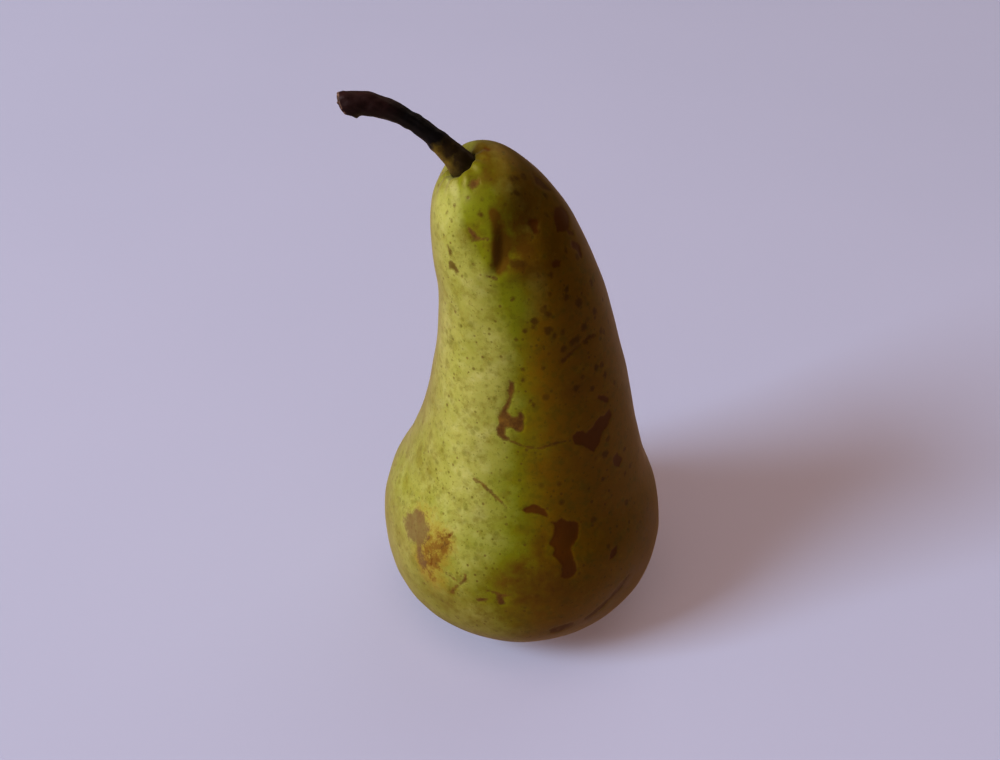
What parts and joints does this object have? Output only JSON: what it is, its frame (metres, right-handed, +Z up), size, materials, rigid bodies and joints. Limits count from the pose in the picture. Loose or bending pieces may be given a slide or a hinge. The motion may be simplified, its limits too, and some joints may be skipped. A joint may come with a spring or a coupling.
{
  "type": "pear",
  "caption": "Long-necked ripe pear standing on its calyx end, with a bent woody stalk and dried sepals underneath.",
  "frame": {"origin": "on the resting surface, at the middle of the bounding box of the fruit and its stalk", "axes": "+Z up; the neck and stalk lean towards -X, and -Y is the front of the pear"},
  "size_m": [0.0716, 0.0674, 0.139],
  "materials": {
    "fruit_skin": "satin yellow-green skin with brown russet marks",
    "stalk_bark": "rough dark brown bark",
    "dry_calyx": "dull dried leaf"
  },
  "bodies": {
    "root": {"fruit": "fruit_skin", "stalk": "stalk_bark", "sepal_1": "dry_calyx", "sepal_2": "dry_calyx", "sepal_3": "dry_calyx", "sepal_4": "dry_calyx", "sepal_5": "dry_calyx", "dried_stamens": "dry_calyx"}
  },
  "joints": []
}
